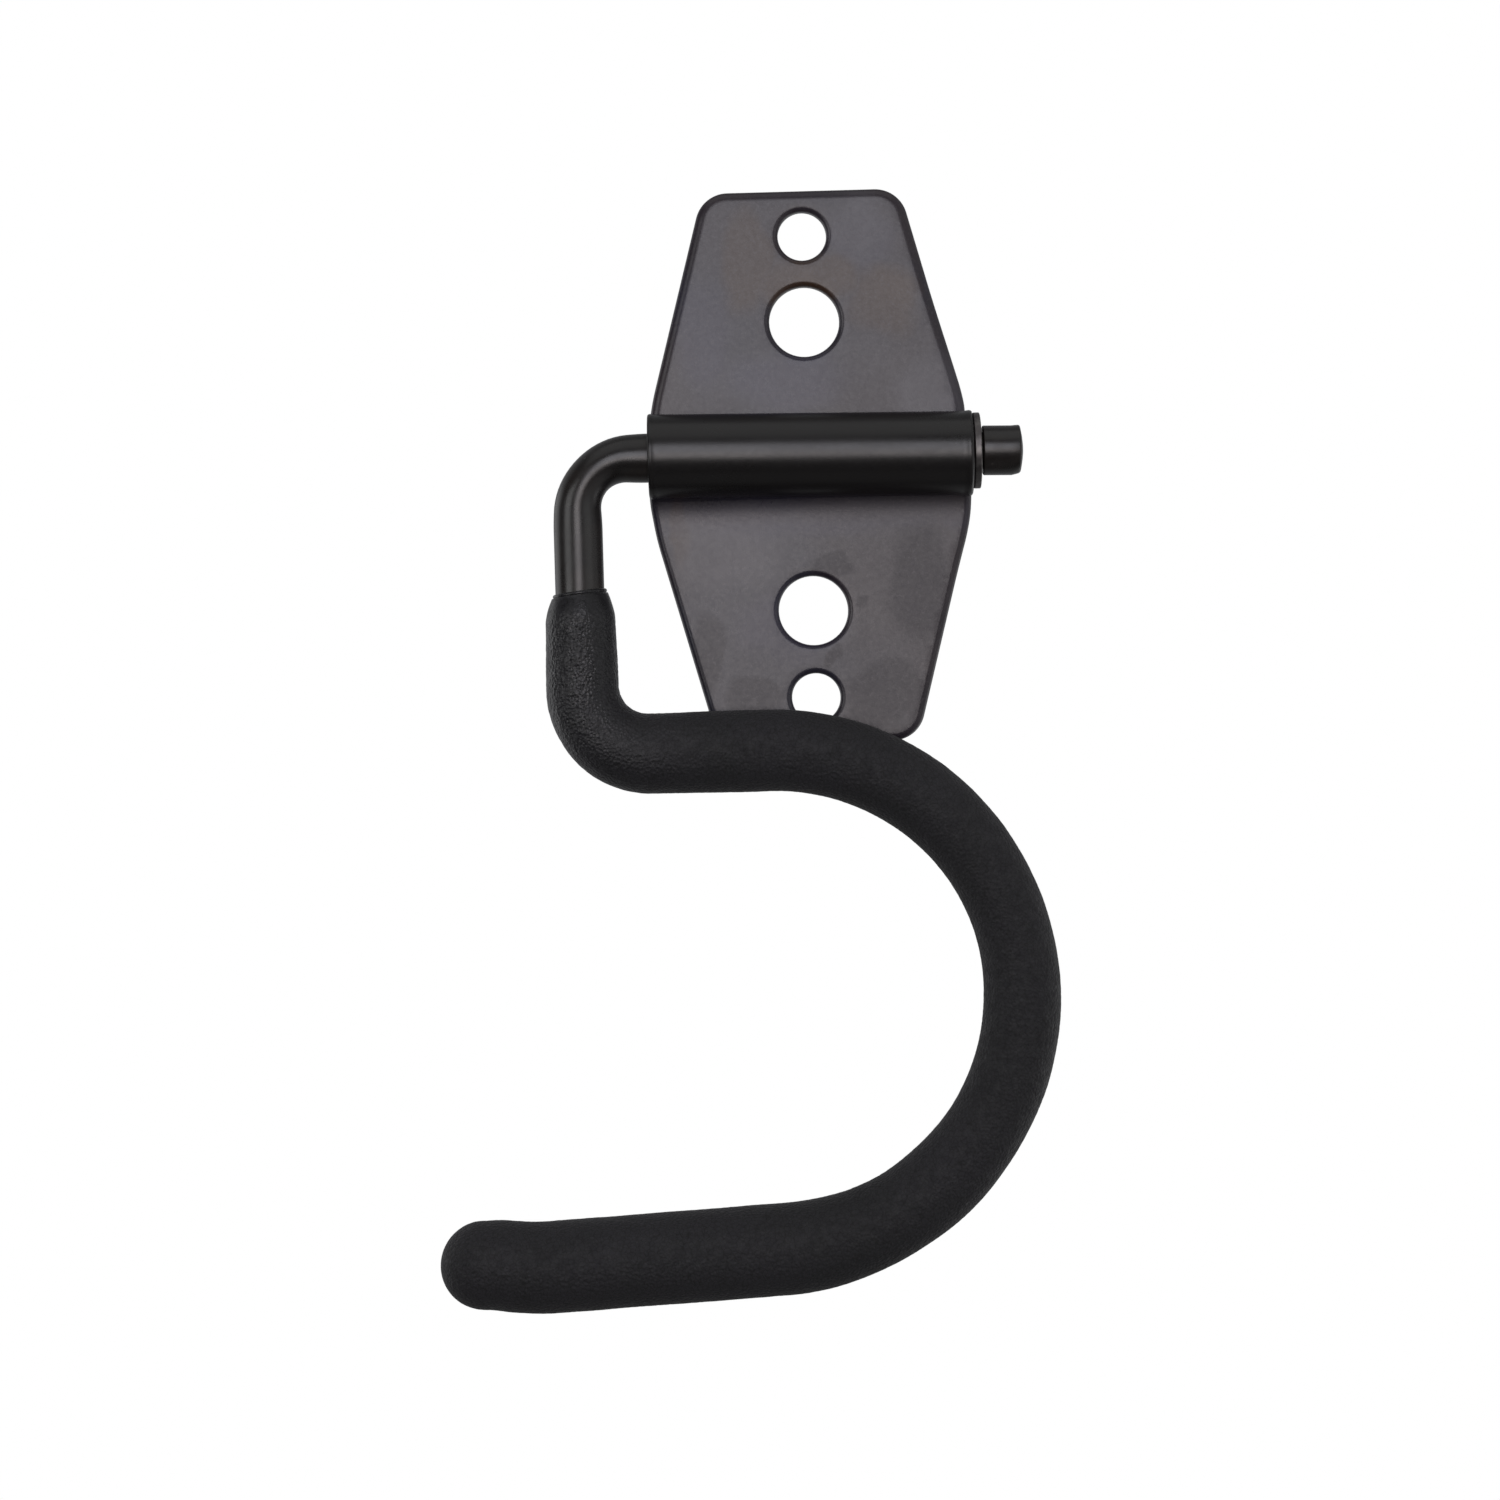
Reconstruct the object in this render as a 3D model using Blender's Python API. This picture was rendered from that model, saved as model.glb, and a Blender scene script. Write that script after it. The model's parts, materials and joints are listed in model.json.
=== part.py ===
"""A folding wall hook in the place where it hangs, in metres.

+Z is up, the wall is the plane Y = 0, and the hook's front looks along -Y. The origin is the centre of the
wall plate's back.

A steel plate is pressed from one sheet into two tapered leaves with an upright barrel between them. A
bent round rod turns in the barrel. A retaining ring in a groove at the rod's lower end keeps it there, and
a foam sleeve covers the J that carries the load. The hook is built folded to the -X side, flat against the
wall.
"""

import math

import bmesh
import bpy

MM = 0.001
GAP = 0.3 * MM

# Wall plate: X runs from leaf to leaf, and Z along the barrel.
SHEET = 2.5 * MM
PLATE_HALF_LENGTH = 45.7 * MM
PLATE_HALF_WIDTH = 26.4 * MM
LEAF_END_HALF_WIDTH = 16.35 * MM
LEAF_TAPER = math.radians(15)
LEAF_CORNER_RADIUS = 5.4 * MM
WAIST_CORNER_RADIUS = 42 * MM
BIG_HOLE_RADIUS = 5.8 * MM
BIG_HOLE_X = 23.8 * MM
SMALL_HOLE_RADIUS = 4.1 * MM
SMALL_HOLE_X = 38.1 * MM

# Barrel: the stretch of the same sheet that wraps round the rod. Its axis is the hook's joint.
AXIS_X = 1.5 * MM
AXIS_Y = -9.5 * MM
BARREL_INNER_RADIUS = 4.35 * MM
BARREL_OUTER_RADIUS = BARREL_INNER_RADIUS + SHEET
SOFT_FOLD_RADIUS = 1.6 * MM
SHARP_FOLD_RADIUS = 0.8 * MM

# Hook rod: distances from the joint axis, in the plane of the folded hook.
ROD_RADIUS = 4 * MM
ROD_LOW_END_Z = -34.6 * MM
ROD_CHAMFER = 0.5 * MM
ROD_SIDE_Z = 38 * MM
TOP_BEND_RADIUS = 8.6 * MM
STAND_OFF = 48.25 * MM
ELBOW_RADIUS = 11 * MM
J_START_Z = 7.8 * MM
J_BENDS = ((40.2 * MM, math.radians(112)), (42 * MM, math.radians(65.2)))
SLEEVE_TIP_Z = 63.7 * MM
ROD_END_TO_TIP = 4.5 * MM

# Groove at the rod's lower end, and the ring in it. The ring's angles are from the middle of its mouth.
GROOVE_RADIUS = 3 * MM
RING_THICKNESS = 1.1 * MM
RING_OUTER_RADIUS = 6.2 * MM
RING_POCKET_RADIUS = 4.6 * MM
RING_MOUTH_HALF_ANGLE = math.radians(38)
RING_SIDE_PRONG = (math.radians(48), math.radians(72))
RING_POCKET = (math.radians(78), math.radians(152))
RING_BACK_PRONG_START = math.radians(160)
RING_TOP_Z = -PLATE_HALF_WIDTH - GAP

# Foam sleeve: (distance along it from its neck, outer radius). It swells towards the tip.
SLEEVE_NECK_TO_AXIS = 21.5 * MM
SLEEVE_GIRTH = (
    (0.0, 4.6 * MM),
    (1.5 * MM, 5.0 * MM),
    (4.5 * MM, 5.55 * MM),
    (14.0 * MM, 5.85 * MM),
    (34.0 * MM, 6.55 * MM),
    (48.0 * MM, 6.7 * MM),
    (62.0 * MM, 6.65 * MM),
    (102.0 * MM, 6.2 * MM),
    (132.0 * MM, 6.4 * MM),
    (156.0 * MM, 6.85 * MM),
    (178.0 * MM, 7.5 * MM),
)

CUT_MARGIN = 5 * MM
ROUND_SIDES = 20
BEND_STEP = math.radians(7)
SLEEVE_STEP = 5 * MM


def clear_scene():
    for obj in list(bpy.data.objects):
        bpy.data.objects.remove(obj, do_unlink=True)


def material(name, colour, roughness, metallic):
    made = bpy.data.materials.new(name)
    made.use_nodes = True
    shader = made.node_tree.nodes["Principled BSDF"]
    shader.inputs["Base Color"].default_value = (*colour, 1)
    shader.inputs["Roughness"].default_value = roughness
    shader.inputs["Metallic"].default_value = metallic
    return made


def add_object(name, shape, finish=None, parent=None):
    """A bmesh made into a named object, with faces out and round stretches shaded smooth."""
    bmesh.ops.recalc_face_normals(shape, faces=shape.faces)
    mesh = bpy.data.meshes.new(name)
    shape.to_mesh(mesh)
    shape.free()
    mesh.shade_smooth()
    mesh.set_sharp_from_angle(angle=math.radians(30))
    if finish:
        mesh.materials.append(finish)
    obj = bpy.data.objects.new(name, mesh)
    obj.parent = parent
    bpy.context.scene.collection.objects.link(obj)
    return obj


def arc(centre, radius, start, end):
    """Points on a circle from one angle to another, at most BEND_STEP apart."""
    steps = max(1, math.ceil(abs(end - start) / BEND_STEP - 1e-6))
    angles = [start + (end - start) * i / steps for i in range(steps + 1)]
    return [(centre[0] + radius * math.cos(a), centre[1] + radius * math.sin(a)) for a in angles]


def prism(points, low, high, place):
    """A closed outline carried from low to high, where place(u, v, w) gives the 3-D point."""
    shape = bmesh.new()
    bottom = [shape.verts.new(place(u, v, low)) for u, v in points]
    top = [shape.verts.new(place(u, v, high)) for u, v in points]
    shape.faces.new(bottom)
    shape.faces.new(top)
    for i in range(len(points)):
        shape.faces.new((bottom[i - 1], bottom[i], top[i], top[i - 1]))
    return shape


def cut(obj, cutter, operation):
    cutter.hide_render = True
    cutter.display_type = "WIRE"
    modifier = obj.modifiers.new(cutter.name, "BOOLEAN")
    modifier.operation = operation
    modifier.solver = "EXACT"
    modifier.object = cutter


def fold_offset(fold_radius):
    """How far beside the barrel's axis a leaf's fold has its centre, so that it meets the barrel."""
    reach = BARREL_OUTER_RADIUS + fold_radius
    height = -AXIS_Y - SHEET - fold_radius
    return math.sqrt(reach**2 - height**2)


def sheet_section():
    """The plate's section across the barrel, as (x, distance from the wall) points."""
    axis = (AXIS_X, -AXIS_Y)
    past_end = PLATE_HALF_LENGTH + CUT_MARGIN
    soft = (AXIS_X - fold_offset(SOFT_FOLD_RADIUS), SHEET + SOFT_FOLD_RADIUS)
    sharp = (AXIS_X + fold_offset(SHARP_FOLD_RADIUS), SHEET + SHARP_FOLD_RADIUS)
    to_soft = math.atan2(axis[1] - soft[1], axis[0] - soft[0])
    to_sharp = math.atan2(axis[1] - sharp[1], axis[0] - sharp[0])
    down = -math.pi / 2
    round_start = to_soft + math.pi
    round_end = to_sharp - math.pi
    front = [(-past_end, SHEET)]
    front += arc(soft, SOFT_FOLD_RADIUS, down, to_soft)
    front += arc(axis, BARREL_OUTER_RADIUS, round_start, round_end)[1:]
    front += arc(sharp, SHARP_FOLD_RADIUS, to_sharp, down + 2 * math.pi)[1:]
    front += [(past_end, SHEET)]
    back = [(past_end, 0)]
    back += arc(sharp, SHARP_FOLD_RADIUS + SHEET, down + 2 * math.pi, to_sharp)
    back += arc(axis, BARREL_INNER_RADIUS, round_end, round_start)[1:]
    back += arc(soft, SOFT_FOLD_RADIUS + SHEET, to_soft, down)[1:]
    back += [(-past_end, 0)]
    return front + back


def rounded_outline(corners):
    """A convex outline from (u, v, corner radius), listed anticlockwise, with each corner made an arc."""
    points = []
    for i, (u, v, radius) in enumerate(corners):
        before = corners[i - 1]
        after = corners[(i + 1) % len(corners)]
        into = math.atan2(v - before[1], u - before[0])
        out = math.atan2(after[1] - v, after[0] - u)
        turn = (out - into) % (2 * math.pi)
        setback = radius * math.tan(turn / 2)
        start = (u - setback * math.cos(into), v - setback * math.sin(into))
        centre = (start[0] - radius * math.sin(into), start[1] + radius * math.cos(into))
        points += arc(centre, radius, into - math.pi / 2, into - math.pi / 2 + turn)
    return points


def leaf_outline():
    """The plate's outline as (x, z): two tapered leaves that ease into the barrel's straight ends."""
    waist_x = PLATE_HALF_LENGTH - (PLATE_HALF_WIDTH - LEAF_END_HALF_WIDTH) / math.tan(LEAF_TAPER)
    quarter = (
        (PLATE_HALF_LENGTH, LEAF_END_HALF_WIDTH, LEAF_CORNER_RADIUS),
        (waist_x, PLATE_HALF_WIDTH, WAIST_CORNER_RADIUS),
    )
    upper = [*quarter, *[(-x, z, radius) for x, z, radius in reversed(quarter)]]
    lower = [(-x, -z, radius) for x, z, radius in upper]
    return rounded_outline([*upper, *lower])


def wall_plate():
    finish = material("plate_paint", (0.035, 0.033, 0.034), 0.42, 0.0)
    half_span = PLATE_HALF_WIDTH + CUT_MARGIN
    barrel_front = AXIS_Y - BARREL_OUTER_RADIUS - CUT_MARGIN
    section = prism(sheet_section(), -half_span, half_span, lambda x, depth, z: (x, -depth, z))
    plate = add_object("wall_plate", section, finish)
    outline = prism(leaf_outline(), barrel_front, CUT_MARGIN, lambda x, z, y: (x, y, z))
    cut(plate, add_object("outline_guide", outline), "INTERSECT")
    for side in (-1, 1):
        for name, x, radius in (
            ("big_hole", BIG_HOLE_X, BIG_HOLE_RADIUS),
            ("small_hole", SMALL_HOLE_X, SMALL_HOLE_RADIUS),
        ):
            circle = arc((side * x, 0), radius, 0, 2 * math.pi)[:-1]
            hole = prism(circle, -SHEET - CUT_MARGIN, CUT_MARGIN, lambda u, v, y: (u, y, v))
            cut(plate, add_object(f"{name}_cutter", hole), "DIFFERENCE")
    return plate


def hook_route():
    """The rod's centre line seen from the front, as ("line", length) and ("bend", radius, angle) in order.

    It starts at the rod's lower end and heads up. Positive angles turn towards -X, so the J turns the
    other way.
    """
    heading = math.pi
    arm_start_z = J_START_Z
    for radius, angle in J_BENDS:
        arm_start_z -= radius * (math.sin(heading - angle) - math.sin(heading))
        heading -= angle
    return (
        ("line", ROD_SIDE_Z - TOP_BEND_RADIUS - ROD_LOW_END_Z),
        ("bend", TOP_BEND_RADIUS, math.pi / 2),
        ("line", STAND_OFF - TOP_BEND_RADIUS - ELBOW_RADIUS),
        ("bend", ELBOW_RADIUS, math.pi / 2),
        ("line", ROD_SIDE_Z - ELBOW_RADIUS - J_START_Z),
        *[("bend", radius, -angle) for radius, angle in J_BENDS],
        ("line", (SLEEVE_TIP_Z - arm_start_z) / math.cos(heading)),
    )


def piece_length(piece):
    return piece[1] if piece[0] == "line" else piece[1] * abs(piece[2])


def route_length(pieces):
    return sum(piece_length(piece) for piece in pieces)


def point_on_route(distance):
    """(x, z, heading) at a distance along the route, from the joint axis. Heading 0 is up, pi / 2 is -X."""
    x, z, heading = 0.0, ROD_LOW_END_Z, 0.0
    for piece in hook_route():
        length = min(distance, piece_length(piece))
        distance -= length
        if piece[0] == "line":
            x -= length * math.sin(heading)
            z += length * math.cos(heading)
            continue
        turned = math.copysign(length / piece[1], piece[2])
        side = math.copysign(piece[1], piece[2])
        x += side * (math.cos(heading + turned) - math.cos(heading))
        z += side * (math.sin(heading + turned) - math.sin(heading))
        heading += turned
    return x, z, heading


def route_stops(start, end, longest=math.inf):
    """Distances from start to end that follow the route's bends, no further apart than longest."""
    stops = [start, end]
    done = 0.0
    for piece in hook_route():
        length = piece_length(piece)
        steps = max(1, math.ceil(length / longest))
        if piece[0] == "bend":
            steps = max(steps, math.ceil(abs(piece[2]) / BEND_STEP))
        stops += [done + length * i / steps for i in range(steps + 1)]
        done += length
    stops = sorted(stop for stop in stops if start <= stop <= end)
    apart = 0.05 * MM
    return [stop for stop, after in zip(stops, [*stops[1:], math.inf]) if after - stop > apart]


def turned_along_route(profile):
    """A round solid swept along the route, from (distance, radius) points. A radius of 0 closes an end."""
    shape = bmesh.new()
    rings = []
    for distance, radius in profile:
        x, z, heading = point_on_route(distance)
        ring = []
        for i in range(ROUND_SIDES if radius > 0 else 1):
            angle = 2 * math.pi * i / ROUND_SIDES
            across = radius * math.cos(angle)
            spot_x = x + across * math.cos(heading)
            spot_z = z + across * math.sin(heading)
            ring.append(shape.verts.new((spot_x, radius * math.sin(angle), spot_z)))
        rings.append(ring)
    for low, high in zip(rings, rings[1:]):
        for i in range(ROUND_SIDES):
            j = (i + 1) % ROUND_SIDES
            corners = [low[i % len(low)], low[j % len(low)], high[j % len(high)], high[i % len(high)]]
            shape.faces.new(dict.fromkeys(corners))
    return shape


def rod_end_distance():
    return route_length(hook_route()) - ROD_END_TO_TIP


def hook_rod(pivot):
    finish = material("rod_paint", (0.03, 0.029, 0.028), 0.36, 0.0)
    groove_low = RING_TOP_Z - RING_THICKNESS - GAP - ROD_LOW_END_Z
    groove_high = -PLATE_HALF_WIDTH - ROD_LOW_END_Z
    end = rod_end_distance()
    profile = [(0, 0), (0, ROD_RADIUS - ROD_CHAMFER), (ROD_CHAMFER, ROD_RADIUS), (groove_low, ROD_RADIUS)]
    profile += [(groove_low, GROOVE_RADIUS), (groove_high, GROOVE_RADIUS)]
    profile += [(stop, ROD_RADIUS) for stop in route_stops(groove_high, end - ROD_CHAMFER)]
    profile += [(end, ROD_RADIUS - ROD_CHAMFER), (end, 0)]
    return add_object("hook_rod", turned_along_route(profile), finish, pivot)


def retaining_ring(pivot):
    """A snap ring with three prongs that hold the groove. Its mouth looks at the wall."""
    finish = material("ring_paint", (0.03, 0.03, 0.03), 0.4, 0.3)
    prong_radius = GROOVE_RADIUS + GAP
    mouth = math.pi / 2
    edge = RING_MOUTH_HALF_ANGLE
    outline = arc((0, 0), RING_OUTER_RADIUS, mouth + edge, mouth + 2 * math.pi - edge)
    half = (
        (prong_radius, *RING_SIDE_PRONG),
        (RING_POCKET_RADIUS, *RING_POCKET),
    )
    back = (prong_radius, RING_BACK_PRONG_START, 2 * math.pi - RING_BACK_PRONG_START)
    other_half = [(radius, 2 * math.pi - end, 2 * math.pi - start) for radius, start, end in reversed(half)]
    inner = [*half, back, *other_half]
    for radius, start, end in reversed(inner):
        outline += arc((0, 0), radius, mouth + end, mouth + start)
    low = RING_TOP_Z - RING_THICKNESS
    shape = prism(outline, low, RING_TOP_Z, lambda x, y, z: (x, y, z))
    return add_object("retaining_ring", shape, finish, pivot)


def sleeve_radius(distance):
    """The sleeve's outer radius, eased between the points of SLEEVE_GIRTH."""
    for (start, low), (end, high) in zip(SLEEVE_GIRTH, SLEEVE_GIRTH[1:]):
        if distance < end:
            share = (distance - start) / (end - start)
            return low + (high - low) * share * share * (3 - 2 * share)
    return SLEEVE_GIRTH[-1][1]


def foam_sleeve(pivot):
    finish = material("foam", (0.012, 0.012, 0.013), 0.9, 0.0)
    neck = route_length(hook_route()[:2]) + SLEEVE_NECK_TO_AXIS - TOP_BEND_RADIUS
    bore_radius = ROD_RADIUS + GAP
    bore_end = rod_end_distance() + GAP
    tip = route_length(hook_route())
    tip_radius = SLEEVE_GIRTH[-1][1]
    bore = [(stop, bore_radius) for stop in route_stops(neck, bore_end)]
    profile = [(bore_end, 0), *reversed(bore)]
    neck_stops = [neck + distance for distance, _ in SLEEVE_GIRTH[:3]]
    outer = neck_stops + route_stops(neck_stops[-1] + 1 * MM, tip - tip_radius, SLEEVE_STEP)
    profile += [(stop, sleeve_radius(stop - neck)) for stop in outer]
    for point in arc((tip - tip_radius, 0), tip_radius, math.pi / 2, 0)[1:-1]:
        profile.append(point)
    profile.append((tip, 0))
    return add_object("foam_sleeve", turned_along_route(profile), finish, pivot)


def main():
    clear_scene()
    wall_plate()
    pivot = bpy.data.objects.new("hook_pivot", None)
    pivot.location = (AXIS_X, AXIS_Y, 0)
    bpy.context.scene.collection.objects.link(pivot)
    hook_rod(pivot)
    retaining_ring(pivot)
    foam_sleeve(pivot)


main()
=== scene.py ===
"""Looks of the folding wall hook.

+Z is up in use, the wall is the plane Y = 0, and the hook's front looks along -Y.
Lengths are in metres.
"""

import json
import math

import bmesh
import bpy
import numpy as np
from mathutils import Matrix, Vector, geometry, noise


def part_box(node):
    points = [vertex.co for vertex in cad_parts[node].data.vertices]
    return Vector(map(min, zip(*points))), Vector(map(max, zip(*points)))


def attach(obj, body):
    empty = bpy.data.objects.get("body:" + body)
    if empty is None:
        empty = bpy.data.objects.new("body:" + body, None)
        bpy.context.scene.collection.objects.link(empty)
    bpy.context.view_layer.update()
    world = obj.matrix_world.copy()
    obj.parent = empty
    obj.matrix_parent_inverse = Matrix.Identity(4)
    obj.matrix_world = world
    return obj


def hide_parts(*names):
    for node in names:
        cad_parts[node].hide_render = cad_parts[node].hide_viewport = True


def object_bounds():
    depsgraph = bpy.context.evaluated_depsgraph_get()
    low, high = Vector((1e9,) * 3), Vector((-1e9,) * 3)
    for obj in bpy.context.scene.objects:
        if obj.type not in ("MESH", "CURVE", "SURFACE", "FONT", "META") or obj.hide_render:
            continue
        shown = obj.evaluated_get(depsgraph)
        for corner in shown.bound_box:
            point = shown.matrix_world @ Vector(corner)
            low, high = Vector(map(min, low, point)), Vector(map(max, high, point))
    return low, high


MM = 0.001
MM_PER_METRE = 1000.0

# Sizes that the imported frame's boxes don't give. They are the same as the CAD model's, with the
# ring's angles to half a degree.
SHEET = 2.5 * MM
LEAF_END_HALF_WIDTH = 16.35 * MM
LEAF_TAPER = math.radians(15)
LEAF_CORNER_RADIUS = 5.4 * MM
WAIST_CORNER_RADIUS = 42 * MM
BARREL_INNER_RADIUS = 4.35 * MM
SOFT_FOLD_RADIUS = 1.6 * MM
SHARP_FOLD_RADIUS = 0.8 * MM
ROD_RADIUS = 4 * MM
ROD_LOW_END_Z = -34.6 * MM
ROD_SIDE_Z = 38 * MM
TOP_BEND_RADIUS = 8.6 * MM
STAND_OFF = 48.25 * MM
ELBOW_RADIUS = 11 * MM
J_START_Z = 7.8 * MM
J_BENDS = ((40.2 * MM, math.radians(112)), (42 * MM, math.radians(65.2)))
ROD_END_TO_TIP = 4.5 * MM
GROOVE_RADIUS = 3 * MM
RING_PRONG_RADIUS = 3.3 * MM
RING_POCKET_RADIUS = 4.6 * MM
RING_MOUTH_HALF_ANGLE = math.radians(38)
RING_SIDE_PRONG = (math.radians(47.5), math.radians(72.2))
RING_POCKET = (math.radians(77.9), math.radians(152))
RING_BACK_PRONG_START = math.radians(159.6)
SLEEVE_NECK_TO_AXIS = 21.5 * MM

# The rest of the sizes are small irregularities that only the looks have.

# A hole is (x, radius)
HOLES = (
    (-38.2 * MM, 4.02 * MM),
    (-23.8 * MM, 5.74 * MM),
    (24.0 * MM, 5.8 * MM),
    (38.15 * MM, 4.02 * MM),
)

# A girth is (distance from the sleeve's mouth, radius). A round shoulder leads up to the first one
SLEEVE_GIRTH = (
    (5.0 * MM, 5.72 * MM),
    (14.0 * MM, 5.95 * MM),
    (34.0 * MM, 6.55 * MM),
    (48.0 * MM, 6.7 * MM),
    (62.0 * MM, 6.65 * MM),
    (102.0 * MM, 6.2 * MM),
    (132.0 * MM, 6.4 * MM),
    (156.0 * MM, 6.85 * MM),
    (178.0 * MM, 7.5 * MM),
)
SLEEVE_MOUTH_RADIUS = 4.3 * MM
SLEEVE_SHOULDER_POWER = 1.6

# The -X leaf rises towards the barrel, up to a crest just inside the fold
LEAF_RISE = 0.78 * MM
LEAF_RISE_REACH = 5.7 * MM
LEAF_RISE_POWER = 2.2
LEAF_RISE_CREST = 0.8 * MM
LEAF_RISE_FADE = 2.5 * MM

# Both leaves are a little wider at -Z. The -X leaf also flares there, and is off by a length and a
# slope. The fronts of both are a little wavy
LEAF_EXTRA_WIDTH = 0.3 * MM
LEAF_FLARE = 0.8
LEAF_OFF = 0.1 * MM
LEAF_OFF_SLOPE = 0.005
SHEET_WAVE = 0.035 * MM

# The barrel's front runs askew and a little low, and its ends are belled
BARREL_SKEW = math.tan(math.radians(0.95))
BARREL_DROP = 0.2 * MM
BARREL_BELL = 0.16 * MM
BARREL_LEFT_END_Z = 26.2 * MM
BARREL_RIGHT_END_Z = -26.6 * MM

# The bar leans at its low end and is thinner in its top bend. Its stub is sheared
ROD_LEAN = 0.4 * MM
ROD_LEAN_LENGTH = 17.6 * MM
ROD_BEND_THINNING = 0.115
STUB_RADIUS = 4.05 * MM
STUB_DOME = 0.35 * MM
STUB_BURR = 0.16 * MM
STUB_DRAWN_IN = 0.5 * MM

# The ring sits a little away from its place in the CAD model, and its edges are turned
RING_SHIFT_Z = -0.12 * MM
RING_BEVEL = 0.22 * MM

# The sleeve's tip is bent and tapered, and its mouth is cut askew. Its bead is (half width, height)
TIP_BEND = 1.15 * MM
TIP_TAPER = 0.25 * MM
NECK_SLANT = 0.45 * MM
BEAD = (0.34 * MM, 0.34 * MM)
DENTS = 0.06 * MM
PEBBLES = 0.05 * MM
GRAIN_TUBE_RADIUS = 6.8 * MM

# A pressed front edge is (width, drop). The back's edge is only broken
UPPER_LEAF_EDGE = (1.7 * MM, 1.4 * MM)
LOWER_LEAF_EDGE = (1.2 * MM, 1.1 * MM)
BARREL_EDGE = (0.6 * MM, 0.4 * MM)
HOLE_EDGE = (0.95 * MM, 0.9 * MM)
BACK_EDGE = 0.12 * MM

# Fineness of the meshes
ROD_SIDES = 64
SLEEVE_SIDES = 112
HOLE_SIDES = 56
EDGE_STEPS = 7
CORNER_STEPS = 14
MESH_STEP = 0.9 * MM
FOLD_STEP = 0.3 * MM
COARSE_STEP = 1.5 * MM
GAP_TO_EDGE = 0.3 * MM
GAP_TO_HOLE = 0.45 * MM
SMALLEST_TRIANGLE = 1e-10
UV_PER_METRE = 10

# Stage
AIM = Vector((-46.6 * MM, 0, 10.95 * MM))
CAMERA_LENS = 84
CAMERA_DISTANCE = 0.581
CAMERA_ROLL = math.radians(1.6)
FLOOR_DROP = 1.0
FLOOR_SIDE = 4.0
FLOOR_TILES = 24
FLOOR_GLOW = 0.12

# The backdrop's glow: in front of the object, behind it, the depths between which it climbs, the
# heights between which it dims, and what is left of it beyond them
WORLD_FRONT = 0.03
WORLD_BACK = 0.38
WORLD_DEPTHS = (0.0, 0.35)
WORLD_HEIGHTS = (0.2, 0.9)
WORLD_TOP_SHARE = 0.45

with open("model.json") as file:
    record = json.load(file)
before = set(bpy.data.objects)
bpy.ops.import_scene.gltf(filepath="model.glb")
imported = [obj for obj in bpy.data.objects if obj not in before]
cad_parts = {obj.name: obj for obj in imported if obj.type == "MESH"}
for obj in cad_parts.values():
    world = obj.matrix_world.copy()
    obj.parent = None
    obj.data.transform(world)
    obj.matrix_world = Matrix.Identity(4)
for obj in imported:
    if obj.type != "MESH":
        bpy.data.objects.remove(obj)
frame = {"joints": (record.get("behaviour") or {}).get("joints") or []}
cad_low, cad_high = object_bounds()
JOINT = next(j for j in frame["joints"] if j["name"] == "hook_swing")
AXIS_X, AXIS_Y, _ = JOINT["pos_m"]
_, PLATE_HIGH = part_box("wall_plate")
RING_LOW, RING_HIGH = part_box("retaining_ring")
_, SLEEVE_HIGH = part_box("foam_sleeve")
PLATE_HALF_LENGTH = PLATE_HIGH.x
PLATE_HALF_WIDTH = PLATE_HIGH.z


# Small tools


def eased(value, start, end):
    """0 at start and before it, 1 at end and past it, and smooth between them, in either direction."""
    share = min(max((value - start) / (end - start), 0.0), 1.0)
    return share * share * (3 - 2 * share)


def mesh_object(name, points, faces, material, uvs=None):
    mesh = bpy.data.meshes.new(name)
    mesh.from_pydata([tuple(p) for p in points], [], faces)
    mesh.validate()
    if uvs is not None:
        layer = mesh.uv_layers.new(name="UVMap")
        corners = np.array([loop.vertex_index for loop in mesh.loops])
        layer.data.foreach_set("uv", np.asarray(uvs)[corners].astype(np.float32).ravel())
    shape = bmesh.new()
    shape.from_mesh(mesh)
    bmesh.ops.recalc_face_normals(shape, faces=shape.faces)
    shape.to_mesh(mesh)
    shape.free()
    mesh.shade_smooth()
    mesh.materials.append(material)
    obj = bpy.data.objects.new(name, mesh)
    bpy.context.scene.collection.objects.link(obj)
    return obj


# Hook rod and sleeve: both follow one route, seen from the front


def hook_route():
    """The rod's centre line as ("line", length) and ("bend", radius, angle), from its lower end."""
    heading = math.pi
    arm_start_z = J_START_Z
    for radius, angle in J_BENDS:
        arm_start_z -= radius * (math.sin(heading - angle) - math.sin(heading))
        heading -= angle
    return (
        ("line", ROD_SIDE_Z - TOP_BEND_RADIUS - ROD_LOW_END_Z),
        ("bend", TOP_BEND_RADIUS, math.pi / 2),
        ("line", STAND_OFF - TOP_BEND_RADIUS - ELBOW_RADIUS),
        ("bend", ELBOW_RADIUS, math.pi / 2),
        ("line", ROD_SIDE_Z - ELBOW_RADIUS - J_START_Z),
        *[("bend", radius, -angle) for radius, angle in J_BENDS],
        ("line", (SLEEVE_HIGH.z - arm_start_z) / math.cos(heading)),
    )


def piece_length(piece):
    return piece[1] if piece[0] == "line" else piece[1] * abs(piece[2])


ROUTE = hook_route()
ROUTE_LENGTH = sum(piece_length(piece) for piece in ROUTE)
TOP_BEND_START = piece_length(ROUTE[0])
TOP_BEND_END = TOP_BEND_START + piece_length(ROUTE[1])
NECK = TOP_BEND_END + SLEEVE_NECK_TO_AXIS - TOP_BEND_RADIUS
ROD_END = ROUTE_LENGTH - ROD_END_TO_TIP


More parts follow.
